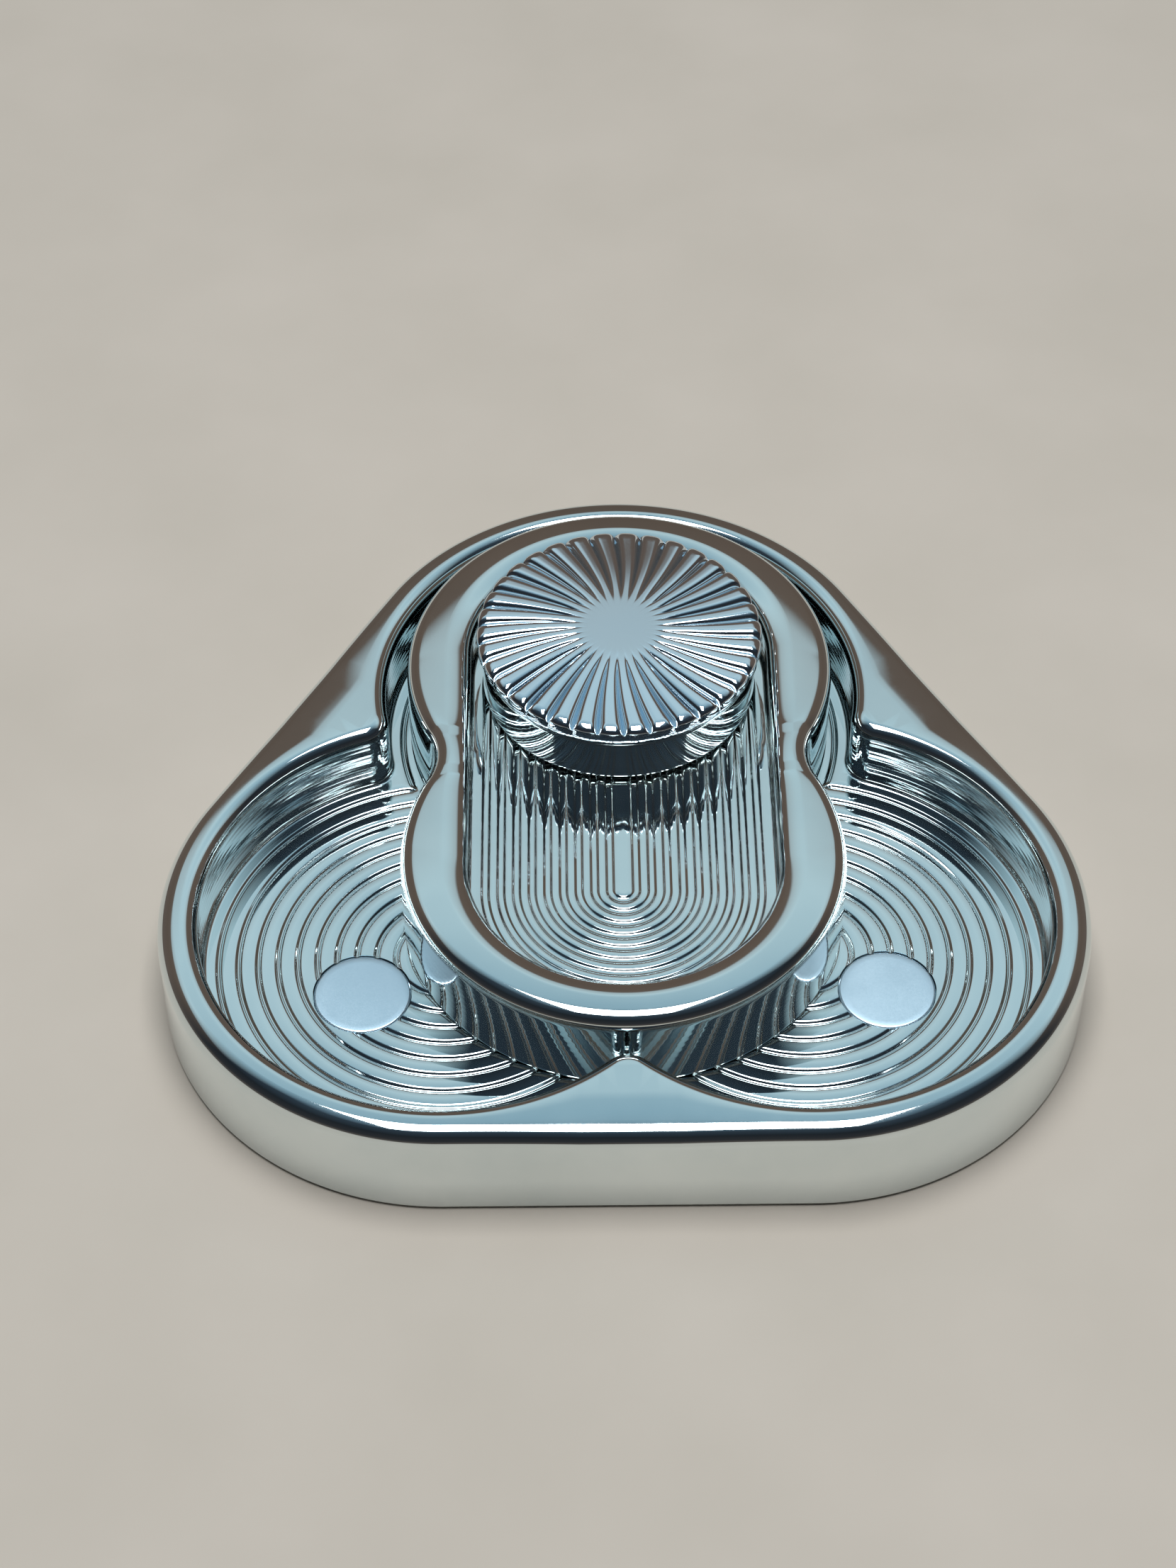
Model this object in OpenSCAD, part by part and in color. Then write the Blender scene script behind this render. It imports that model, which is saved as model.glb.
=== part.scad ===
// Haptic fidget spinner: a rounded-triangle steel tray, a two-lobed rotor that
// walks round its three pockets, and a fluted button that slides in the rotor's
// slot and spins on a small ball bearing. Lengths in millimetres, +Z up.
// Origin: on the ground under the tray's centre, the axis the rotor orbits.
// +Y points to the tray's far pocket, where the rotor rests.

/* [Tray] */
// Distance from the tray's centre to each pocket centre
pocket_offset = 12.6; // [12.4:0.1:12.8]
// Radius of the tray's outer corners
tray_corner_r = 17.6; // [17.2:0.1:18.4]
// Height of the rim above the ground
tray_h = 7.0; // [6.6:0.1:7.6]
// Height of the tray floor above the ground
tray_floor = 2.2; // [2.0:0.1:2.4]
// Radius of each round pocket at its wall
pocket_r = 15.15; // [15.05:0.05:15.4]
// Radius of the rounded tip between two pockets
cusp_r = 1.8; // [1.6:0.1:2.0]

/* [Rotor] */
// Radius of each of the rotor's two lobes
lobe_r = 13.75; // [13.5:0.05:13.8]
// Distance from the rotor's centre to each lobe centre
lobe_offset = 8.2; // [8.0:0.05:8.3]
// Half width of the rotor at its waist
waist_half = 11.8; // [11.6:0.05:11.85]
// Radius of the circle the rotor's centre walks round
orbit_r = 5.45; // [5.3:0.05:5.5]
// Height of the rotor's top face above the ground
rotor_top = 8.4; // [8.0:0.1:9.0]
// Height of the rotor's underside above the ground
rotor_bottom = 2.3; // [2.28:0.02:2.4]

/* [Slot] */
// Half width of the rotor's slot
slot_r = 9.6; // [9.5:0.05:9.8]
// Height of the slot's floor above the ground
slot_floor = 5.1; // [5.0:0.05:5.15]
// Distance from the rotor's centre to the centre of each of the slot's round ends
slot_offset = 9.0; // [8.8:0.05:9.05]

/* [Button] */
// Radius of the sliding base, inside the skirt
base_r = 8.1; // [7.95:0.05:8.15]
// Radius of the fluted cap
cap_r = 9.25; // [8.8:0.05:9.3]
// Number of flutes on the cap
cap_flutes = 34; // [24:1:48]
// Height of the cap's flat hub above the ground
cap_top = 10.2; // [10.1:0.1:10.6]
// Radius of the cap's flat hub
hub_r = 2.9; // [2.4:0.1:3.4]
// Radius of the plain skirt below the cap
skirt_r = 8.85; // [8.4:0.05:9.0]

/* [Magnets] */
// Radius of the tray's and the rotor's disc magnets
magnet_r = 3.0; // [2.5:0.1:3.1]
// Distance from the tray's centre to each tray magnet
tray_magnet_offset = 18.6; // [18.0:0.1:19.0]
// Radius of the button's disc magnets
puck_magnet_r = 2.5; // [2.0:0.1:2.6]

/* [Hidden] */
$fn = 96;

steel = "#b9c9cf";
steel_dark = "#8c9aa2";
nickel = "#a9c7dd";
ptfe = "#e9e7df";
// how far touching curves are let into each other, so that they meet in a clean corner
blend = 0.004;

// rotor centre and button centre at rest, and the magnets under each lobe
rotor_y = orbit_r;
puck_y = rotor_y + slot_offset;
rotor_magnet_y = 13.2;
puck_magnet_y = rotor_magnet_y - slot_offset;

// rounded tips between pockets: centre of the tip's round
cusp_d = pocket_offset*cos(60) + sqrt(pow(pocket_r + cusp_r, 2) - pow(pocket_offset*sin(60), 2));
function polar(d, a) = [d*cos(a), d*sin(a)];
pocket_angles = [90, 210, 330];

// concave rounds at the rotor's waist
waist_r = (waist_half*waist_half + lobe_offset*lobe_offset - lobe_r*lobe_r)/(2*(lobe_r - waist_half));

// ball bearing, bore 4, outside 8, width 2
brg_bore = 2.0;
brg_out = 4.0;
brg_z0 = 6.1;
brg_w = 2.0;
ball_r = 0.58;
ball_pitch = 3.0;
ball_n = 7;
ball_z = brg_z0 + brg_w/2;

// ---------- tray ----------

// plan of the tray: three round corners and three straight sides, set in by r
module tray_plan(r) {
    for (a = pocket_angles) translate(polar(pocket_offset, a)) circle(r = r);
    polygon([for (a = pocket_angles) for (b = [a - 60, a + 60]) polar(pocket_offset, a) + polar(r - blend/2, b)]);
}

// plan of the cavity: three round pockets, with a rounded tip between each two
module cavity_plan() {
    for (a = pocket_angles) {
        translate(polar(pocket_offset, a)) circle(r = pocket_r);
        difference() {
            polygon([polar(pocket_offset, a), polar(cusp_d, a + 60), polar(pocket_offset, a + 120)]);
            translate(polar(cusp_d, a + 60)) circle(r = cusp_r + blend);
        }
    }
}

module tray_shell() {
    color(steel) difference() {
        linear_extrude(tray_h) tray_plan(tray_corner_r);
        translate([0, 0, tray_floor]) linear_extrude(tray_h) cavity_plan();
        for (a = pocket_angles) translate(polar(tray_magnet_offset, a))
            translate([0, 0, 0.7]) cylinder(r = magnet_r + 0.05, h = tray_floor);
    }
}

module disc_magnet(r, z0, z1) {
    color(nickel) rotate_extrude()
        polygon([[0, z0], [r - 0.15, z0], [r, z0 + 0.15], [r, z1 - 0.15], [r - 0.15, z1], [0, z1]]);
}

module tray_magnet_far() { translate(polar(tray_magnet_offset, 90)) disc_magnet(magnet_r, 0.7, tray_floor); }
module tray_magnet_left() { translate(polar(tray_magnet_offset, 210)) disc_magnet(magnet_r, 0.7, tray_floor); }
module tray_magnet_right() { translate(polar(tray_magnet_offset, 330)) disc_magnet(magnet_r, 0.7, tray_floor); }

// ---------- rotor ----------

// plan of the rotor: two round lobes joined by a waist with a concave round each side
module rotor_plan() {
    for (s = [-1, 1]) translate([0, s*lobe_offset]) circle(r = lobe_r);
    difference() {
        polygon([[0, lobe_offset], [waist_half + waist_r, 0], [0, -lobe_offset], [-waist_half - waist_r, 0]]);
        for (s = [-1, 1]) translate([s*(waist_half + waist_r), 0]) circle(r = waist_r + blend);
    }
}

module slot_plan(r) {
    for (s = [-1, 1]) translate([0, s*slot_offset]) circle(r = r);
    translate([-r + blend/2, -slot_offset]) square([2*r - blend, 2*slot_offset]);
}

module rotor_body() {
    color(steel) translate([0, rotor_y, 0]) difference() {
        union() {
            translate([0, 0, rotor_bottom]) linear_extrude(slot_floor - rotor_bottom) rotor_plan();
            translate([0, 0, slot_floor]) linear_extrude(rotor_top - slot_floor) difference() {
                rotor_plan();
                slot_plan(slot_r);
            }
        }
        // seats in the underside for the magnets, their glide rings and the glide disc
        for (s = [-1, 1]) translate([0, s*rotor_magnet_y, 0]) {
            translate([0, 0, rotor_bottom - 1]) cylinder(r = magnet_r + 0.05, h = 2.95);
            difference() {
                translate([0, 0, rotor_bottom - 1]) cylinder(r = 6.35, h = 1.3);
                translate([0, 0, rotor_bottom - 2]) cylinder(r = 4.15, h = 4);
            }
        }
        translate([0, 0, rotor_bottom - 1]) cylinder(r = 6.05, h = 1.45);
    }
}

module rotor_magnet_far() { translate([0, rotor_y + rotor_magnet_y, 0]) disc_magnet(magnet_r, rotor_bottom + 0.05, rotor_bottom + 1.9); }
module rotor_magnet_near() { translate([0, rotor_y - rotor_magnet_y, 0]) disc_magnet(magnet_r, rotor_bottom + 0.05, rotor_bottom + 1.9); }

module glide_ring(z0, z1, r0, r1) {
    color(ptfe) translate([0, 0, z0]) difference() {
        cylinder(r = r1, h = z1 - z0);
        translate([0, 0, -1]) cylinder(r = r0, h = z1 - z0 + 2);
    }
}

module rotor_glide_ring_far() { translate([0, rotor_y + rotor_magnet_y, 0]) glide_ring(tray_floor + 0.05, rotor_bottom + 0.3, 4.2, 6.3); }
module rotor_glide_ring_near() { translate([0, rotor_y - rotor_magnet_y, 0]) glide_ring(tray_floor + 0.05, rotor_bottom + 0.3, 4.2, 6.3); }

module glide_disc() {
    color(ptfe) translate([0, rotor_y, tray_floor + 0.05]) cylinder(r = 6.0, h = 0.46);
}

// ---------- sliding base of the button ----------

module puck_base() {
    color(steel_dark) translate([0, puck_y, 0]) difference() {
        rotate_extrude() polygon([[0, slot_floor + 0.1], [base_r - 0.15, slot_floor + 0.1], [base_r, slot_floor + 0.25],
            [base_r, 5.85], [base_r - 0.15, 6.0], [0, 6.0]]);
        // the screw goes right through
        translate([0, 0, slot_floor]) cylinder(r = 1.25, h = 5);
        for (s = [-1, 1]) translate([0, s*puck_magnet_y, slot_floor - 1]) cylinder(r = puck_magnet_r + 0.05, h = 1.7);
        difference() {
            translate([0, 0, slot_floor - 1]) cylinder(r = 7.85, h = 1.32);
            translate([0, 0, slot_floor - 2]) cylinder(r = 7.25, h = 3);
        }
    }
}

module puck_magnet_far() { translate([0, puck_y + puck_magnet_y, 0]) disc_magnet(puck_magnet_r, slot_floor + 0.15, slot_floor + 0.65); }
module puck_magnet_near() { translate([0, puck_y - puck_magnet_y, 0]) disc_magnet(puck_magnet_r, slot_floor + 0.15, slot_floor + 0.65); }
module puck_glide_ring() { translate([0, puck_y, 0]) glide_ring(slot_floor + 0.05, slot_floor + 0.3, 7.3, 7.8); }

module bearing_shim() { color(steel) translate([0, puck_y, 0]) glide_ring(6.0, brg_z0, 2.03, 2.6); }

module axle_screw() {
    color(steel_dark) translate([0, puck_y, 0]) difference() {
        rotate_extrude() polygon([[0, 5.3], [0.95, 5.3], [1.2, 5.5], [1.2, 6.0], [1.96, 6.0], [1.96, 8.1],
            [2.55, 8.1], [2.55, 8.6], [2.35, 8.8], [0, 8.8]]);
        // hex socket
        translate([0, 0, 8.2]) cylinder(r = 1.15, h = 2, $fn = 6);
    }
}

// ---------- ball bearing ----------

module ring_at(z0, z1, r0, r1) {
    polygon([[r0 + 0.1, z0], [r1 - 0.1, z0], [r1, z0 + 0.1], [r1, z1 - 0.1], [r1 - 0.1, z1], [r0 + 0.1, z1], [r0, z1 - 0.1], [r0, z0 + 0.1]]);
}

module bearing_inner_ring() {
    color(steel) translate([0, puck_y, 0]) rotate_extrude() difference() {
        ring_at(brg_z0, brg_z0 + brg_w, brg_bore, 2.62);
        translate([ball_pitch, ball_z]) circle(r = ball_r + 0.02);
    }
}

module bearing_outer_ring() {
    color(steel) translate([0, puck_y, 0]) rotate_extrude() difference() {
        ring_at(brg_z0, brg_z0 + brg_w, 3.38, brg_out);
        translate([ball_pitch, ball_z]) circle(r = ball_r + 0.02);
    }
}

module bearing_balls() {
    color(steel) translate([0, puck_y, ball_z])
        for (i = [0:ball_n - 1]) rotate([0, 0, i*360/ball_n]) translate([ball_pitch, 0, 0]) sphere(r = ball_r);
}

module bearing_cage() {
    color(steel_dark) translate([0, puck_y, 0]) difference() {
        rotate_extrude() translate([2.8, ball_z - 0.6]) square([0.4, 0.75]);
        translate([0, 0, ball_z]) for (i = [0:ball_n - 1]) rotate([0, 0, i*360/ball_n])
            translate([ball_pitch, 0, 0]) sphere(r = ball_r + 0.03);
    }
}

module bearing_shield_lower() { color(steel) translate([0, puck_y, 0]) glide_ring(brg_z0 + 0.1, brg_z0 + 0.25, 2.7, 3.36); }
module bearing_shield_upper() { color(steel) translate([0, puck_y, 0]) glide_ring(brg_z0 + brg_w - 0.25, brg_z0 + brg_w - 0.1, 2.7, 3.36); }

// ---------- spinning skirt and cap ----------

module puck_skirt() {
    color(steel) translate([0, puck_y, 0]) rotate_extrude() difference() {
        polygon([[3.42, 5.35], [skirt_r - 0.2, 5.35], [skirt_r, 5.55], [skirt_r, 8.42], [3.42, 8.42]]);
        // hollow for the sliding base
        translate([0, 5]) square([8.3, 1.1]);
        // seat for the bearing
        translate([0, 5]) square([brg_out + 0.02, 3.1]);
    }
}

module puck_cap() {
    color(steel) translate([0, puck_y, 0]) difference() {
        rotate_extrude() polygon([[0, 9.05], [2.9, 9.05], [2.9, 8.25], [3.38, 8.25], [3.38, 8.45], [cap_r - 0.5, 8.45],
            [cap_r, 8.85], [cap_r, 9.3], [cap_r - 0.45, 9.85], [hub_r, cap_top], [0, cap_top]]);
        // radial flutes from the hub to the edge
        for (i = [0:cap_flutes - 1]) rotate([0, 0, i*360/cap_flutes])
            translate([hub_r - 0.35, 0, cap_top + 0.76]) rotate([0, 96.5, 0]) cylinder(r = 0.74, h = cap_r, $fn = 48);
    }
}

tray_shell();
tray_magnet_far();
tray_magnet_left();
tray_magnet_right();
rotor_body();
rotor_magnet_far();
rotor_magnet_near();
rotor_glide_ring_far();
rotor_glide_ring_near();
glide_disc();
puck_base();
puck_magnet_far();
puck_magnet_near();
puck_glide_ring();
bearing_shim();
axle_screw();
bearing_inner_ring();
bearing_outer_ring();
bearing_balls();
bearing_cage();
bearing_shield_lower();
bearing_shield_upper();
puck_skirt();
puck_cap();
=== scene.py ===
import math

import bmesh
import bpy
import numpy as np
from mathutils import Matrix, Vector


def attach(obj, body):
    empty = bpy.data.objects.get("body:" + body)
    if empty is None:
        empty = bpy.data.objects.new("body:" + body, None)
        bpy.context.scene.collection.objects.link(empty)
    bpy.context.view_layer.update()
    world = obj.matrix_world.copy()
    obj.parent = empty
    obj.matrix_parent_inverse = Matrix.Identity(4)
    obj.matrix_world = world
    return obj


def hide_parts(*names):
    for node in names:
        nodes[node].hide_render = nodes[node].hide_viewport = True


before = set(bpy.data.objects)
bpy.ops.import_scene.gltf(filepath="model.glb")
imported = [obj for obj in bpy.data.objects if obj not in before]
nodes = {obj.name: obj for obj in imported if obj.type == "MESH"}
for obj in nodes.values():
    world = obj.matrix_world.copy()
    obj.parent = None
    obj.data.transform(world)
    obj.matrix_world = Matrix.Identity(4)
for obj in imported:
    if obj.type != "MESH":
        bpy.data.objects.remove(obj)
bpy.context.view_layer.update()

# ------------------------------------------------------------------ dimensions, mm (as in the CAD)
MM = 0.001
POCKET_OFF, CORNER_R, TRAY_H, FLOOR = 12.6, 17.6, 7.0, 2.2
POCKET_R, CUSP_R = 15.15, 1.8
CUSP_D = POCKET_OFF * 0.5 + math.sqrt((POCKET_R + CUSP_R) ** 2 - (POCKET_OFF * math.sin(math.radians(60))) ** 2)
POCKETS = (90.0, 210.0, 330.0)
LOBE_R, LOBE_OFF, WAIST, ORBIT = 13.75, 8.2, 11.8, 5.45
WAIST_R = (WAIST ** 2 + LOBE_OFF ** 2 - LOBE_R ** 2) / (2 * (LOBE_R - WAIST))
ROTOR_Z0, ROTOR_Z1 = 2.3, 8.4
SLOT_R, SLOT_Z, SLOT_OFF = 9.6, 5.1, 9.0
PUCK_Y = ORBIT + SLOT_OFF
SKIRT_R, CAP_R, CAP_TOP, HUB_R, PETALS = 8.85, 9.25, 10.2, 2.9, 34


def polar(d, a):
    return np.array([d * math.cos(math.radians(a)), d * math.sin(math.radians(a))])


def arc(c, r, a0, a1, n):
    t = np.radians(np.linspace(a0, a1, n + 1))
    return np.stack([c[0] + r * np.cos(t), c[1] + r * np.sin(t)], 1)


def smooth(a, b, x):
    t = np.clip((np.asarray(x, float) - a) / (b - a), 0, 1)
    return t * t * (3 - 2 * t)


# ------------------------------------------------------------------ mesh building
class Mesh:
    """Vertices in millimetres and the faces between them."""

    def __init__(self):
        self.v, self.f, self.n = [], [], 0

    def put(self, xy, z):
        xy = np.asarray(xy, float)
        z = np.broadcast_to(np.asarray(z, float), (len(xy),))
        self.v.append(np.column_stack([xy, z]))
        ids = np.arange(self.n, self.n + len(xy))
        self.n += len(xy)
        return ids

    def strip(self, a, b, closed=True):
        a2, b2 = (np.roll(a, -1), np.roll(b, -1)) if closed else (a[1:], b[1:])
        if not closed:
            a, b = a[:-1], b[:-1]
        self.f.extend(np.stack([a, a2, b2, b], 1).tolist())

    def rows(self, rows, closed=True):
        ids = [self.put(xy, z) for xy, z in rows]
        for a, b in zip(ids, ids[1:]):
            self.strip(a, b, closed)
        return ids

    def object(self, name, fills=(), sharp=42):
        """fills: lists of closed loops of vertex ids; the flat area between them is filled."""
        bm = bmesh.new()
        vs = [bm.verts.new(p) for p in (np.vstack(self.v) * MM).tolist()]
        for face in self.f:
            bm.faces.new([vs[i] for i in face])
        for loops in fills:
            edges = []
            for loop in loops:
                ring = [vs[i] for i in loop]
                for p, q in zip(ring, ring[1:] + ring[:1]):
                    edges.append(bm.edges.get((p, q)) or bm.edges.new((p, q)))
            bmesh.ops.triangle_fill(bm, use_beauty=True, use_dissolve=False, edges=edges)
        bmesh.ops.remove_doubles(bm, verts=bm.verts, dist=4e-7)
        bmesh.ops.dissolve_degenerate(bm, edges=bm.edges, dist=1e-8)
        bmesh.ops.recalc_face_normals(bm, faces=bm.faces)
        me = bpy.data.meshes.new(name)
        bm.to_mesh(me)
        bm.free()
        o = bpy.data.objects.new(name, me)
        bpy.context.scene.collection.objects.link(o)
        finish_shading(o, sharp)
        return o


def finish_shading(o, sharp):
    me = o.data
    me.shade_smooth()
    me.set_sharp_from_angle(angle=math.radians(sharp))
    for m in [m for m in o.modifiers if m.type == "WEIGHTED_NORMAL"]:
        o.modifiers.remove(m)
    w = o.modifiers.new("even normals", "WEIGHTED_NORMAL")
    w.keep_sharp = True
    w.weight = 60


def prism(name, loops, z0, z1):
    """Closed prism between an outer loop and an optional inner loop, for cutting."""
    m = Mesh()
    ids = [(m.put(l, z0), m.put(l, z1)) for l in loops]
    for lo, hi in ids:
        m.strip(lo, hi)
    return m.object(name, [[lo for lo, _ in ids], [hi for _, hi in ids]], 30)


def cut(o, cutters, sharp):
    for m in list(o.modifiers):
        o.modifiers.remove(m)
    for i, c in enumerate(cutters):
        for m in list(c.modifiers):
            c.modifiers.remove(m)
        b = o.modifiers.new(f"cut {i}", "BOOLEAN")
        b.operation, b.solver, b.object = "DIFFERENCE", "MANIFOLD", c
    bpy.context.view_layer.update()
    dg = bpy.context.evaluated_depsgraph_get()
    me = bpy.data.meshes.new_from_object(o.evaluated_get(dg))
    old = o.data
    o.modifiers.clear()
    o.data = me
    me.name = o.name
    bpy.data.meshes.remove(old)
    for c in cutters:
        d = c.data
        bpy.data.objects.remove(c)
        bpy.data.meshes.remove(d)
    finish_shading(o, sharp)


def fillet(r, n, t0=0.0, t1=90.0):
    """(in from the wall, down from the top) along a quarter round, wall first."""
    t = np.radians(np.linspace(t0, t1, n + 1))
    return [(r * (1 - math.cos(x)), r * (1 - math.sin(x))) for x in t]


# ------------------------------------------------------------------ tray
C0, F0 = polar(POCKET_OFF, 0), polar(CUSP_D, 60)
SWEEP = math.degrees(math.atan2(F0[1] - C0[1], F0[0] - C0[0]))


def tray_outline():
    """Points round the tray's plan and the outward direction at each."""
    pts, out = [], []
    for a in POCKETS:
        e = arc(polar(POCKET_OFF, a), CORNER_R, a - 60, a + 60, 96)
        q = polar(POCKET_OFF, a + 120) + polar(CORNER_R, a + 60)
        t = np.linspace(0, 1, 20)[1:-1, None]
        pts += [e, e[-1] + t * (q - e[-1])]
        out += [(e - polar(POCKET_OFF, a)) / CORNER_R, np.repeat(polar(1, a + 60)[None], 18, 0)]
    return np.vstack(pts), np.vstack(out)


OUTLINE, OUTWARD = tray_outline()


def tray_outer(d):
    return OUTLINE - OUTWARD * np.broadcast_to(np.asarray(d, float), (len(OUTLINE),))[:, None]


NA, NC = 220, 40


def tray_inner(e):
    out = []
    for a in POCKETS:
        out.append(arc(polar(POCKET_OFF, a), POCKET_R + e, a - SWEEP, a + SWEEP, NA))
        out.append(arc(polar(CUSP_D, a + 60), CUSP_R - e, a + 180 + SWEEP, a + 300 - SWEEP, NC)[1:-1])
    return np.vstack(out)


RIM_OUT, RIM_IN, RIM_FOOT, FOOT = 1.2, 0.88, 0.3, 0.4
RIM_TILT = 10.0                                          # lean of the rim's top where its outer round ends, degrees
GROOVES = 0.74 + 1.222 * np.arange(12)
GROOVE_SHAPE = [(-0.26, 0.0), (-0.20, 0.010), (-0.15, 0.042), (-0.09, 0.105), (-0.035, 0.140),
                (0.035, 0.140), (0.09, 0.105), (0.15, 0.042), (0.20, 0.010), (0.26, 0.0)]


def wall_lines(z, amp, period):
    """Fine turning marks down a wall, as a set-back from its face."""
    return amp * (0.5 - 0.5 * np.cos(2 * np.pi * z / period)) + 0.5 * amp * (0.5 - 0.5 * np.cos(2 * np.pi * z / (period * 2.7)))


def make_tray():
    m = Mesh()
    rows = []
    for i in range(7):                                   # rounded foot
        t = math.radians(15 * i)
        rows.append((tray_outer(FOOT * (1 - math.sin(t))), FOOT * (1 - math.cos(t))))
    # the rim's top leans outwards over a band as wide as the rim allows, then runs level
    wall = tray_inner(0)
    width = np.array([np.hypot(*(wall - p).T).min() for p in OUTLINE])
    start = RIM_OUT * (1 - math.sin(math.radians(RIM_TILT)))
    band = np.clip(width - RIM_IN - 0.06, 1.40, 3.3) - start
    x = np.linspace(0, 1, 25)
    slope = np.tan(np.radians(np.interp(x, [0, 0.12, 0.75, 1.0], [RIM_TILT, 6.5, 4.5, 0.0])))
    fall = np.concatenate([np.cumsum(((slope[1:] + slope[:-1]) / 2 * np.diff(x))[::-1])[::-1], [0]])
    drop = band * fall[0]
    zc = TRAY_H - drop - RIM_OUT * math.cos(math.radians(RIM_TILT))
    for k in np.linspace(0, 1, 6)[1:-1]:
        rows.append((tray_outer(0), FOOT * (1 - k) + zc * k))
    for i in range(21):                                  # outer round
        t = math.radians(90 - (90 - RIM_TILT) * i / 20)
        rows.append((tray_outer(RIM_OUT * (1 - math.sin(t))), zc + RIM_OUT * math.cos(t)))
    for k, f in list(zip(x, fall))[1:]:
        rows.append((tray_outer(start + band * k), TRAY_H - band * f))
    outer = m.rows(rows)
    rows = []
    for d, h in reversed(fillet(RIM_IN, 14)):
        rows.append((tray_inner(d), TRAY_H - h))
    zt, zb = TRAY_H - RIM_IN, FLOOR + RIM_FOOT
    for z in np.linspace(zt, zb, 58)[1:-1]:
        fade = min(1.0, (zt - z) / 0.3, (z - zb) / 0.3)
        rows.append((tray_inner(fade * wall_lines(z, 0.0030, 0.40)), z))
    for d, h in fillet(RIM_FOOT, 6):
        rows.append((tray_inner(-d), FLOOR + h))
    inner = m.rows(rows)
    # floor: one fan of rings round each pocket's centre, meeting on the lines between them
    radii = sorted({round(g + o, 5) for g in GROOVES for o, _ in GROOVE_SHAPE} | {14.85, 15.3} | set((GROOVES[:-1] + 0.611).round(5)))
    depth = []
    for r in radii:
        g = GROOVES[np.argmin(np.abs(GROOVES - r))]
        depth.append(np.interp(r - g, [o for o, _ in GROOVE_SHAPE], [d for _, d in GROOVE_SHAPE]))
    for a in POCKETS:
        c = polar(POCKET_OFF, a)
        main = arc(c, POCKET_R - RIM_FOOT, a - SWEEP, a + SWEEP, NA)
        half1 = arc(polar(CUSP_D, a + 60), CUSP_R + RIM_FOOT, a + 180 + SWEEP, a + 300 - SWEEP, NC)[1:NC // 2 + 1]
        half2 = arc(polar(CUSP_D, a - 60), CUSP_R + RIM_FOOT, a + 60 + SWEEP, a + 180 - SWEEP, NC)[NC // 2:-1]
        tip = CUSP_D - CUSP_R - RIM_FOOT
        t = np.linspace(0, 1, 71)[1:-1, None]
        line1 = polar(tip, a + 60) * (1 - t)
        line2 = (polar(tip, a - 60) * (1 - t))[::-1]
        loop = np.vstack([main, half1, line1, [[0.0, 0.0]], line2, half2])
        rel = loop - c
        rb = np.hypot(rel[:, 0], rel[:, 1])
        u = rel / rb[:, None]
        e1, e2 = polar(1, a + 60), polar(1, a - 60)
        rows = [(np.repeat(c[None], len(loop), 0), FLOOR)]
        for r, g in zip(radii, depth):
            rr = np.minimum(r, rb)
            p = c + u * rr[:, None]
            edge = np.minimum(np.abs(p[:, 0] * e1[1] - p[:, 1] * e1[0]), np.abs(p[:, 0] * e2[1] - p[:, 1] * e2[0]))
            k = smooth(0.03, 0.20, edge) * (r <= rb)
            rows.append((p, FLOOR - g * k))
        rows.append((loop, FLOOR))
        m.rows(rows)
    o = m.object("tray_body", [[list(outer[-1]), list(inner[0])], [list(outer[0])]])
    cutters = [prism(f"seat{i}", [arc(polar(18.6, a), 3.05, 0, 360, 96)[:-1]], 0.7, 3.2) for i, a in enumerate(POCKETS)]
    cut(o, cutters, 42)
    return o


# ------------------------------------------------------------------ rotor
WAIST_X = WAIST + WAIST_R
TURN = math.degrees(math.atan2(LOBE_OFF, WAIST_X))


def rotor_columns():
    """Matching points on the slot's centre line, slot wall direction and outline, once round."""
    k = SLOT_OFF / LOBE_OFF
    cols = []                                            # (outline centre, outline radius sign, outline angle, slot foot, slot direction)
    for lobe in (1, -1):
        cy = LOBE_OFF * lobe
        base = 0 if lobe > 0 else 180
        for t in np.linspace(0, 180, 145)[:-1]:
            cols.append(((0, cy), 1, base + t, (0, SLOT_OFF * lobe), base + t))
        side = -1 if lobe > 0 else 1                     # going down the left side, then up the right
        a0 = 180 if lobe > 0 else 0
        for t in np.linspace(0, TURN, 23)[:-1]:          # rest of this lobe, past the widest point
            y = cy - lobe * LOBE_R * math.sin(math.radians(t))
            cols.append(((0, cy), 1, a0 + t, (0, y * k), a0))
        for t in np.linspace(TURN, -TURN, 49)[:-1]:      # hollow of the waist
            y = lobe * WAIST_R * math.sin(math.radians(t))
            ang = (0 if lobe > 0 else 180) + t
            cols.append(((side * WAIST_X, 0), -1, ang, (0, y * k), a0))
        for t in np.linspace(TURN, 0, 23)[:-1]:          # start of the next lobe
            y = -cy + lobe * LOBE_R * math.sin(math.radians(t))
            cols.append(((0, -cy), 1, a0 - t, (0, y * k), a0))
    return cols


COLS = rotor_columns()
OUT_C = np.array([c[0] for c in COLS], float)
OUT_S = np.array([c[1] for c in COLS], float)
OUT_A = np.radians([c[2] for c in COLS])
SLOT_C = np.array([c[3] for c in COLS], float)
SLOT_A = np.radians([c[4] for c in COLS])
SHIFT = np.array([0, ORBIT])


def rotor_outline(d):
    """Outline set in by d. On a lobe the radius shrinks, in the waist's hollow it grows."""
    r = np.where(OUT_S > 0, LOBE_R - d, WAIST_R + d)
    return OUT_C + np.stack([np.cos(OUT_A), np.sin(OUT_A)], 1) * r[:, None] + SHIFT


def slot_line(q):
    q = np.broadcast_to(np.asarray(q, float), (len(SLOT_C),))[:, None]
    return SLOT_C + np.stack([np.cos(SLOT_A), np.sin(SLOT_A)], 1) * q + SHIFT


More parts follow.
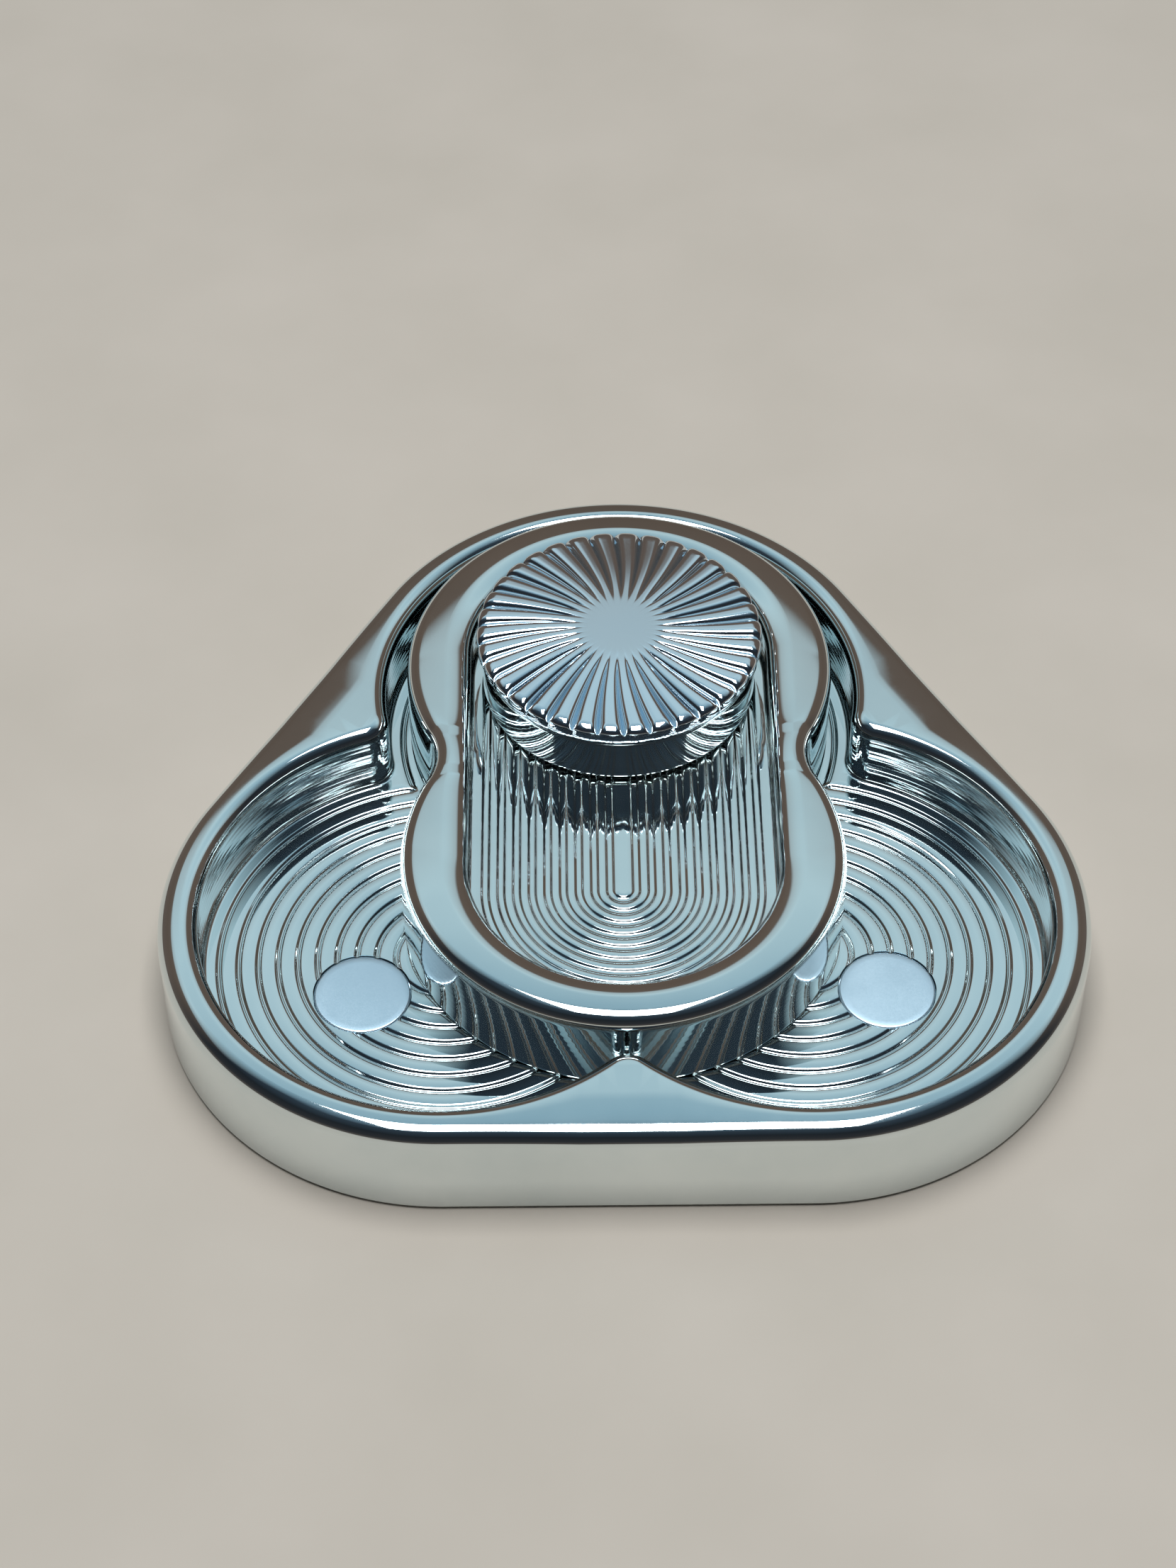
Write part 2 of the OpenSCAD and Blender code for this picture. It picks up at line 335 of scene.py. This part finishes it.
TOP_OUT, TOP_IN, SLOT_FOOT = 1.0, 0.8, 0.2
LIP_TILT, LIP_W = 17.0, 1.0                              # the slot's lip leans inwards over up to this width before its round
LAND_T0, LAND_T1 = 3.4, 7.0                              # the top leans outwards by these angles, degrees


def make_rotor():
    m = Mesh()
    rows = []
    for i in range(6):                                   # rounded lower edge
        t = math.radians(18 * i)
        rows.append((rotor_outline(0.3 * (1 - math.sin(t))), ROTOR_Z0 + 0.3 * (1 - math.cos(t))))
    lip_at = TOP_IN * (1 - math.sin(math.radians(LIP_TILT)))
    a_in = rotor_outline(TOP_OUT * (1 - math.sin(math.radians(LAND_T1))))
    room = np.hypot(*(a_in - slot_line(SLOT_R + lip_at)).T)
    lip = np.minimum(0.8 * room, LIP_W - 0.25 * np.exp(-np.maximum(0, 0.8 * room - LIP_W) * 4))
    a_out = slot_line(SLOT_R + lip_at + lip)
    land = np.hypot(*(a_in - a_out).T)
    # drop of the top across its width, and height of the outer round's start
    mean = math.tan(math.radians((LAND_T0 + LAND_T1) / 2))
    drop = land * mean
    zc = ROTOR_Z1 - drop - TOP_OUT * math.cos(math.radians(LAND_T1))
    for k in np.linspace(0, 1, 40)[1:-1]:
        z = (ROTOR_Z0 + 0.3) * (1 - k) + zc * k
        rows.append((rotor_outline(min(1, (1 - k) * 8, k * 8) * wall_lines(z, 0.0014, 0.45)), z))
    for i in range(19):                                  # outer round
        t = math.radians(90 - (90 - LAND_T1) * i / 18)
        rows.append((rotor_outline(TOP_OUT * (1 - math.sin(t))), zc + TOP_OUT * math.cos(t)))
    p0 = rotor_outline(TOP_OUT * (1 - math.sin(math.radians(LAND_T1))))
    for k in np.linspace(0, 1, 11)[1:]:                  # land, leaning slightly outwards
        ang = math.radians(LAND_T1 + (LAND_T0 - LAND_T1) * k / 2)
        rows.append((p0 * (1 - k) + a_out * k, ROTOR_Z1 - drop + land * k * math.tan(ang)))
    top = len(rows) - 1
    z = ROTOR_Z1
    for i in range(1, 13):                               # lip, leaning more and more inwards
        z = z - lip / 12 * math.tan(math.radians(LIP_TILT * (i - 0.5) / 12))
        rows.append((slot_line(SLOT_R + lip_at + lip * (1 - i / 12)), z))
    zt, zb = z - TOP_IN * math.cos(math.radians(LIP_TILT)), SLOT_Z + SLOT_FOOT
    for i in range(1, 15):                               # inner round
        t = math.radians(LIP_TILT + (90 - LIP_TILT) * i / 14)
        rows.append((slot_line(SLOT_R + TOP_IN * (1 - math.sin(t))), zt + TOP_IN * math.cos(t)))
    for k in np.linspace(0, 1, 40)[1:-1]:
        z = zt * (1 - k) + zb * k
        rows.append((slot_line(SLOT_R + min(1.0, k * 8, (1 - k) * 8) * wall_lines(z, 0.0016, 0.5)), z))
    for d, h in fillet(SLOT_FOOT, 5):
        rows.append((slot_line(SLOT_R - d), SLOT_Z + h))
    # floor of the slot: racetrack lands and grooves
    q = []
    P = 0.97
    for i in range(9):
        b = 0.5 + P * i
        q += [(b, 0.0), (b + 0.04, 0.010), (b + 0.09, 0.050), (b + 0.145, 0.092), (b + 0.19, 0.105),
              (b + 0.31, 0.108), (b + 0.43, 0.105), (b + 0.475, 0.092), (b + 0.53, 0.050), (b + 0.58, 0.010), (b + 0.62, 0.0)]
    q = [x for x in q if x[0] < SLOT_R - SLOT_FOOT - 0.02]
    for r, g in reversed(q):
        rows.append((slot_line(r), SLOT_Z - g))
    rows.append((slot_line(0.25), SLOT_Z))
    rows.append((slot_line(0.0), SLOT_Z))
    ids = m.rows(rows)
    o = m.object("rotor_shell", [[list(ids[0])]])
    cutters = []
    for i, s in enumerate((1, -1)):
        c = np.array([0, ORBIT + 13.2 * s])
        cutters.append(prism(f"ms{i}", [arc(c, 3.05, 0, 360, 96)[:-1]], ROTOR_Z0 - 1, ROTOR_Z0 + 1.95))
        cutters.append(prism(f"rs{i}", [arc(c, 6.35, 0, 360, 128)[:-1], arc(c, 4.15, 0, 360, 128)[:-1]], ROTOR_Z0 - 1, ROTOR_Z0 + 0.3))
    cutters.append(prism("ds", [arc((0, ORBIT), 6.05, 0, 360, 128)[:-1]], ROTOR_Z0 - 1, ROTOR_Z0 + 0.45))
    cut(o, cutters, 42)
    return o


# ------------------------------------------------------------------ button
def ring(r, ph, z, extra=0.0):
    r = np.broadcast_to(r, ph.shape)
    return np.stack([r * np.cos(ph + extra), PUCK_Y + r * np.sin(ph + extra)], 1), z


def make_cap():
    m = Mesh()
    per = 20
    n = PETALS * per
    ph = np.linspace(0, 2 * np.pi, n, endpoint=False) + math.radians(2.0)
    u = np.abs(((np.arange(n) % per) / per) * 2 - 1)     # 0 on the ridge, 1 in the valley
    valley = u ** 4.5
    rows = []

    def crown(r):
        return CAP_TOP - 0.22 * smooth(2.2, 11.5, r)

    rs = np.concatenate([np.linspace(0, 2.3, 5), np.linspace(2.5, 8.5, 31), []])
    for r in rs:
        pitch = 2 * math.pi * r / PETALS
        D = 0.42 * pitch * float(smooth(2.3, 4.6, r)) * (0.75 + 0.25 * float(smooth(3, 8, r)))
        tw = math.radians(4.6) * float(np.clip((r - HUB_R) / 6.3, 0, 1.1)) ** 1.15
        rows.append(ring(r, ph, crown(r) - D * valley, tw))
    D0 = 0.42 * 2 * math.pi * 8.5 / PETALS
    zc = crown(8.5)
    tw = math.radians(4.6) * ((8.5 - HUB_R) / 6.3) ** 1.15
    for i in range(1, 11):                               # rounded outer ends of the petals
        t = math.radians(9 * i)
        r = 8.5 + 0.72 * math.sin(t)
        z = zc - 0.46 * (1 - math.cos(t))
        k = 1 - i / 10
        low = zc - D0 + (zc - 0.46 - 0.10 - (zc - D0)) * (1 - k)
        zz = z * (1 - valley) + min(z, low) * valley
        rows.append(ring(r - 0.16 * (1 - k) * u ** 2.2, ph, zz, tw + math.radians(0.4) * (1 - k)))
    tw += math.radians(0.4)
    for r, z in ((9.22, 9.30), (9.21, 9.12), (9.16, 8.96), (9.06, 8.82), (8.93, 8.68), (8.80, 8.55), (8.68, 8.48), (8.58, 8.45)):
        rows.append(ring(r - 0.16 * max(0.0, (z - 8.6) / 0.8) * u ** 2.2, ph, z, tw))
    for r, z in ((7.6, 8.45), (6.0, 8.45), (4.4, 8.45), (3.40, 8.45), (3.38, 8.43), (3.38, 8.27), (3.36, 8.25), (2.92, 8.25),
                 (2.90, 8.27), (2.90, 9.03), (2.88, 9.05), (1.4, 9.05), (0.0, 9.05)):
        rows.append(ring(r, ph, z, tw))
    m.rows(rows)
    return m.object("cap_petals", (), 50)


def make_skirt():
    """Plain polished cylinder, hollow below for the sliding base and bored for the bearing."""
    m = Mesh()
    ph = np.linspace(0, 2 * np.pi, 360, endpoint=False)
    prof = [(4.02, 8.10), (4.02, 6.12), (4.04, 6.10), (8.28, 6.10), (8.30, 6.08), (8.30, 5.43), (8.33, 5.37), (8.38, 5.35)]
    for i in range(0, 7):                                # rolled lower edge
        t = math.radians(15 * i)
        prof.append((8.62 + 0.23 * math.sin(t), 5.58 - 0.23 * math.cos(t)))
    for z in np.linspace(5.58, 8.34, 24)[1:]:
        prof.append((SKIRT_R - min(1.0, (z - 5.58) / 0.2, (8.34 - z) / 0.2) * wall_lines(z, 0.0008, 0.5), z))
    prof += [(8.83, 8.40), (8.77, 8.42), (3.44, 8.42), (3.42, 8.40), (3.42, 8.12), (3.44, 8.10)]
    rows = [ring(x, ph, y) for x, y in prof]
    rows.append(rows[0])
    m.rows(rows)
    return m.object("skirt_wall", (), 50)


def make_base():
    """Sliding base, hidden in the skirt's hollow: rolled edges and fine turning marks on its deck."""
    m = Mesh()
    ph = np.linspace(0, 2 * np.pi, 300, endpoint=False)
    prof = [(1.27, 5.20), (4.0, 5.20), (7.95, 5.20)]
    for i in range(1, 6):
        t = math.radians(18 * i)
        prof.append((7.95 + 0.15 * math.sin(t), 5.35 - 0.15 * math.cos(t)))
    for i in range(0, 6):
        t = math.radians(18 * i)
        prof.append((7.95 + 0.15 * math.cos(t), 5.85 + 0.15 * math.sin(t)))
    for k in np.linspace(7.8, 2.75, 50):
        prof.append((k, 6.0 - 0.006 * (0.5 - 0.5 * math.cos(2 * math.pi * k / 0.6))))
    prof += [(2.62, 6.0), (1.27, 6.0), (1.25, 5.98), (1.25, 5.22)]
    rows = [ring(x, ph, z) for x, z in prof]
    rows.append(rows[0])
    m.rows(rows)
    o = m.object("base_disc", (), 50)
    cutters = []
    for i, s in enumerate((1, -1)):
        cutters.append(prism(f"bm{i}", [arc((0, PUCK_Y + 4.2 * s), 2.55, 0, 360, 80)[:-1]], 4.1, 5.8))
    cutters.append(prism("br", [arc((0, PUCK_Y), 7.85, 0, 360, 240)[:-1], arc((0, PUCK_Y), 7.25, 0, 360, 240)[:-1]], 4.1, 5.42))
    cut(o, cutters, 50)
    return o


def make_magnet(name, x, y, r, z0, z1):
    """Plated disc magnet: rolled edges and a face crowned by a hair."""
    m = Mesh()
    ph = np.linspace(0, 2 * np.pi, 128, endpoint=False)
    e = 0.16
    prof = [(0.0, z0), (r - e, z0)]
    for i in range(1, 6):
        t = math.radians(18 * i)
        prof.append((r - e + e * math.sin(t), z0 + e - e * math.cos(t)))
    for i in range(0, 6):
        t = math.radians(18 * i)
        prof.append((r - e + e * math.cos(t), z1 - 0.012 - e + e * math.sin(t)))
    for k in np.linspace(r - e, 0, 9)[1:]:
        prof.append((k, z1 - 0.012 * (k / (r - e)) ** 2))
    rows = [(np.stack([x + a * np.cos(ph), y + a * np.sin(ph)], 1), b) for a, b in prof]
    m.rows(rows)
    return m.object(name, (), 50)


# ------------------------------------------------------------------ materials
def nt(name):
    mat = bpy.data.materials.new(name)
    mat.use_nodes = True
    t = mat.node_tree
    t.nodes.clear()
    out = t.nodes.new("ShaderNodeOutputMaterial")
    bsdf = t.nodes.new("ShaderNodeBsdfPrincipled")
    t.links.new(bsdf.outputs[0], out.inputs[0])
    return mat, t, bsdf


def node(t, kind, links=(), **values):
    n = t.nodes.new(kind)
    for k, v in values.items():
        if k.startswith("i_"):
            n.inputs[int(k[2:]) if k[2:].isdigit() else k[2:].replace("_", " ")].default_value = v
        else:
            setattr(n, k, v)
    for src, key in links:
        t.links.new(src, n.inputs[key])
    return n


def ramp(t, src, stops, kind="LINEAR"):
    r = t.nodes.new("ShaderNodeValToRGB")
    r.color_ramp.interpolation = kind
    el = r.color_ramp.elements
    el[0].position, el[0].color = stops[0][0], (*stops[0][1], 1)
    el[1].position, el[1].color = stops[-1][0], (*stops[-1][1], 1)
    for p, c in stops[1:-1]:
        e = el.new(p)
        e.color = (*c, 1)
    t.links.new(src, r.inputs[0])
    return r


def remap(t, src, lo, hi, a=0.0, b=1.0):
    n = t.nodes.new("ShaderNodeMapRange")
    n.inputs["From Min"].default_value, n.inputs["From Max"].default_value = a, b
    n.inputs["To Min"].default_value, n.inputs["To Max"].default_value = lo, hi
    t.links.new(src, n.inputs["Value"])
    return n.outputs["Result"]


def metal(name, dark, light, rough, smudge, wave, scratch, wave_scale=420.0, grain=(1, 1, 1)):
    """Metal whose colour, polish and surface wander a little: smudges, fine scratches and a faint ripple."""
    mat, t, b = nt(name)
    co = node(t, "ShaderNodeTexCoord").outputs["Object"]
    mp = node(t, "ShaderNodeMapping", [(co, "Vector")])
    mp.inputs["Scale"].default_value = grain
    smear = node(t, "ShaderNodeTexNoise", [(co, "Vector")], i_Scale=95.0, i_Detail=4.0, i_Roughness=0.6)
    fine = node(t, "ShaderNodeTexNoise", [(mp.outputs[0], "Vector")], i_Scale=9000.0, i_Detail=3.0, i_Roughness=0.6)
    rip = node(t, "ShaderNodeTexNoise", [(co, "Vector")], i_Scale=wave_scale, i_Detail=2.0, i_Roughness=0.5)
    col = ramp(t, smear.outputs[0], [(0.32, dark), (0.68, light)])
    t.links.new(col.outputs[0], b.inputs["Base Color"])
    ra = remap(t, smear.outputs[0], rough, rough + smudge, 0.42, 0.75)
    rb = remap(t, fine.outputs[0], -0.3 * smudge, 0.5 * smudge, 0.3, 0.75)
    add = node(t, "ShaderNodeMath", [(ra, 0), (rb, 1)], operation="ADD")
    add.use_clamp = True
    t.links.new(add.outputs[0], b.inputs["Roughness"])
    b1 = node(t, "ShaderNodeBump", [(rip.outputs[0], "Height")], i_Strength=1.0, i_Distance=wave)
    b2 = node(t, "ShaderNodeBump", [(fine.outputs[0], "Height"), (b1.outputs[0], "Normal")], i_Strength=1.0, i_Distance=scratch)
    t.links.new(b2.outputs[0], b.inputs["Normal"])
    b.inputs["Metallic"].default_value = 1.0
    return mat, t, b


steel_mat, _, _ = metal("mirror_steel", (0.72, 0.80, 0.82), (0.80, 0.87, 0.88), 0.035, 0.06, 6e-7, 6e-9)
slot_mat, _, _ = metal("mirror_steel_rotor", (0.74, 0.81, 0.82), (0.82, 0.88, 0.88), 0.035, 0.05, 5e-7, 6e-9)
base_mat, _, _ = metal("turned_steel", (0.50, 0.56, 0.59), (0.60, 0.66, 0.68), 0.09, 0.10, 4e-7, 1e-8)
brg_mat, _, _ = metal("bearing_steel_ground", (0.55, 0.56, 0.57), (0.70, 0.71, 0.72), 0.16, 0.12, 3e-7, 2e-8, grain=(1, 1, 6))
nickel_mat, nick_t, nick_b = metal("satin_nickel", (0.60, 0.75, 0.86), (0.66, 0.82, 0.93), 0.30, 0.08, 2e-7, 2e-8)

# cap: mirror petals round a satin hub
cap_mat, ct, cb = metal("fluted_cap_steel", (0.74, 0.83, 0.90), (0.80, 0.88, 0.94), 0.05, 0.05, 3e-7, 8e-9)
_co = node(ct, "ShaderNodeTexCoord").outputs["Object"]
_sub = node(ct, "ShaderNodeVectorMath", [(_co, 0)], operation="SUBTRACT")
_sub.inputs[1].default_value = (0, PUCK_Y * MM, 0)
_mul = node(ct, "ShaderNodeVectorMath", [(_sub.outputs[0], 0)], operation="MULTIPLY")
_mul.inputs[1].default_value = (1, 1, 0)
_len = node(ct, "ShaderNodeVectorMath", [(_mul.outputs[0], 0)], operation="LENGTH")
_hub = remap(ct, _len.outputs["Value"], 0.10, 0.0, 0.0022, 0.0038)
_old = cb.inputs["Roughness"].links[0].from_socket
_sum = node(ct, "ShaderNodeMath", [(_old, 0), (_hub, 1)], operation="ADD")
_sum.use_clamp = True
ct.links.new(_sum.outputs[0], cb.inputs["Roughness"])

# PTFE glides: waxy white with faint machining and soft translucency
ptfe_mat, pt, pb = nt("waxy_ptfe")
_co = node(pt, "ShaderNodeTexCoord").outputs["Object"]
_n = node(pt, "ShaderNodeTexNoise", [(_co, "Vector")], i_Scale=1400.0, i_Detail=3.0)
_c = ramp(pt, _n.outputs[0], [(0.3, (0.80, 0.79, 0.76)), (0.7, (0.90, 0.89, 0.86))])
pt.links.new(_c.outputs[0], pb.inputs["Base Color"])
pt.links.new(remap(pt, _n.outputs[0], 0.42, 0.56), pb.inputs["Roughness"])
_b = node(pt, "ShaderNodeBump", [(_n.outputs[0], "Height")], i_Strength=1.0, i_Distance=6e-6)
pt.links.new(_b.outputs[0], pb.inputs["Normal"])
pb.inputs["Subsurface Weight"].default_value = 0.15
pb.inputs["Subsurface Radius"].default_value = (0.0006, 0.0006, 0.0005)


def dress(o, mat):
    o.data.materials.clear()
    o.data.materials.append(mat)


# ------------------------------------------------------------------ pieces
made = [
    (make_tray(), steel_mat, "tray", ["tray_shell"], "polished_steel"),
    (make_rotor(), slot_mat, "rotor", ["rotor_body"], "polished_steel"),
    (make_cap(), cap_mat, "puck_spinner", ["puck_cap"], "cap_steel"),
    (make_skirt(), slot_mat, "puck_spinner", ["puck_skirt"], "polished_steel"),
    (make_base(), base_mat, "puck_carriage", ["puck_base"], "dark_steel"),
]
for tag, a in (("far", 90), ("left", 210), ("right", 330)):
    p = polar(18.6, a)
    made.append((make_magnet(f"tray_disc_{tag}", p[0], p[1], 3.0, 0.7, 2.2), nickel_mat, "tray", [f"tray_magnet_{tag}"], "magnet"))
for tag, s in (("far", 1), ("near", -1)):
    made.append((make_magnet(f"rotor_disc_{tag}", 0, ORBIT + 13.2 * s, 3.0, 2.35, 4.2), nickel_mat, "rotor", [f"rotor_magnet_{tag}"], "magnet"))
    made.append((make_magnet(f"puck_disc_{tag}", 0, PUCK_Y + 4.2 * s, 2.5, 5.25, 5.75), nickel_mat, "puck_carriage", [f"puck_magnet_{tag}"], "magnet"))
for o, mat, body, stands_for, slot in made:
    dress(o, mat)
    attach(o, body)
    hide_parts(*stands_for)

carried = {
    "rotor_glide_ring_far": ptfe_mat, "rotor_glide_ring_near": ptfe_mat, "glide_disc": ptfe_mat, "puck_glide_ring": ptfe_mat,
    "bearing_shim": brg_mat, "axle_screw": base_mat, "bearing_inner_ring": brg_mat, "bearing_outer_ring": brg_mat,
    "bearing_balls": slot_mat, "bearing_cage": base_mat, "bearing_shield_lower": brg_mat, "bearing_shield_upper": brg_mat,
}
for name, mat in carried.items():
    o = nodes[name]
    if not o.material_slots:
        o.data.materials.append(mat)
    for s in o.material_slots:
        s.material = mat

# ------------------------------------------------------------------ floor
bm = bmesh.new()
bmesh.ops.create_grid(bm, x_segments=8, y_segments=8, size=1.6)
me = bpy.data.meshes.new("floor")
bm.to_mesh(me)
bm.free()
floor = bpy.data.objects.new("floor", me)
bpy.context.scene.collection.objects.link(floor)
fm, ft, fb = nt("pale_floor")
_co = node(ft, "ShaderNodeTexCoord").outputs["Object"]
_n = node(ft, "ShaderNodeTexNoise", [(_co, "Vector")], i_Scale=60.0, i_Detail=4.0)
_c = ramp(ft, _n.outputs[0], [(0.3, (0.53, 0.475, 0.41)), (0.7, (0.57, 0.51, 0.445))])
ft.links.new(_c.outputs[0], fb.inputs["Base Color"])
fb.inputs["Roughness"].default_value = 0.8
fb.inputs["Specular IOR Level"].default_value = 0.2
dress(floor, fm)

# ------------------------------------------------------------------ light
world = bpy.data.worlds.new("studio")
bpy.context.scene.world = world
world.use_nodes = True
wt = world.node_tree
wt.nodes.clear()
wo = wt.nodes.new("ShaderNodeOutputWorld")
bg = wt.nodes.new("ShaderNodeBackground")
wt.links.new(bg.outputs[0], wo.inputs[0])
wc = node(wt, "ShaderNodeTexCoord").outputs["Generated"]
sep = node(wt, "ShaderNodeSeparateXYZ", [(wc, 0)])
z = sep.outputs["Z"]
# soft walls: dark warm below about 44 degrees, cool pale blue above
back = ramp(wt, z, [(0.0, (0.13, 0.10, 0.085)), (0.45, (0.12, 0.088, 0.070)), (0.635, (0.13, 0.098, 0.080)), (0.67, (0.40, 0.48, 0.51)),
                    (0.76, (0.50, 0.66, 0.72)), (0.90, (0.30, 0.46, 0.55)), (1.0, (0.16, 0.26, 0.34))])
front = ramp(wt, z, [(0.0, (0.10, 0.085, 0.075)), (0.20, (0.03, 0.03, 0.033)), (0.60, (0.016, 0.020, 0.025)), (0.88, (0.030, 0.045, 0.062)), (1.0, (0.16, 0.26, 0.34))])
side = remap(wt, sep.outputs["Y"], 0.0, 1.0, 0.0, 0.42)
mix = node(wt, "ShaderNodeMix", [(side, 0), (front.outputs[0], 6), (back.outputs[0], 7)], data_type="RGBA")
wt.links.new(mix.outputs[2], bg.inputs[0])
bg.inputs[1].default_value = 1.0


def panel(name, az, el, dist, sx, sy, power, colour=(1, 1, 1)):
    """Soft light panel: az 0 is behind the camera (-Y), 90 to the right."""
    a, e = math.radians(az), math.radians(el)
    d = Vector((math.sin(a) * math.cos(e), -math.cos(a) * math.cos(e), math.sin(e)))
    ld = bpy.data.lights.new(name, "AREA")
    ld.shape = "RECTANGLE"
    ld.size, ld.size_y = sx, sy
    ld.energy = power
    ld.color = colour
    o = bpy.data.objects.new(name, ld)
    o.location = d * dist
    o.rotation_mode = "QUATERNION"
    o.rotation_quaternion = (-d).to_track_quat("-Z", "Y")
    bpy.context.scene.collection.objects.link(o)
    return o


panel("overhead", 0, 88, 0.6, 0.30, 0.40, 3.4, (0.97, 0.99, 1.0))

# ------------------------------------------------------------------ camera, at the photograph's viewing angle
F_PX, DIST, EL, ROLL, YAW, OX, OY = 4753.774, 214.782, 0.829661, -0.00159029, -0.00924191, 47.9753, 163.0566
fwd = np.array([0, math.cos(EL), -math.sin(EL)])
right = np.array([1.0, 0, 0])
up = np.cross(right, fwd)
cy, sy = math.cos(YAW), math.sin(YAW)
Rz = np.array([[cy, -sy, 0], [sy, cy, 0], [0, 0, 1]])
fwd, right, up = Rz @ fwd, Rz @ right, Rz @ up
r2 = math.cos(ROLL) * right + math.sin(ROLL) * up
u2 = -math.sin(ROLL) * right + math.cos(ROLL) * up
eye = -DIST * (fwd + (OX / F_PX) * r2 - (OY / F_PX) * u2) * MM
cd = bpy.data.cameras.new("camera")
cd.sensor_width = 36.0
cd.lens = F_PX / 2212 * 36.0
cd.clip_start, cd.clip_end = 0.005, 20.0
cam = bpy.data.objects.new("camera", cd)
cam.matrix_world = Matrix(((r2[0], u2[0], -fwd[0], eye[0]), (r2[1], u2[1], -fwd[1], eye[1]), (r2[2], u2[2], -fwd[2], eye[2]), (0, 0, 0, 1)))
bpy.context.scene.collection.objects.link(cam)
bpy.context.scene.camera = cam
bpy.context.scene.view_settings.view_transform = "Standard"
bpy.context.scene.view_settings.look = "None"

bpy.context.view_layer.update()
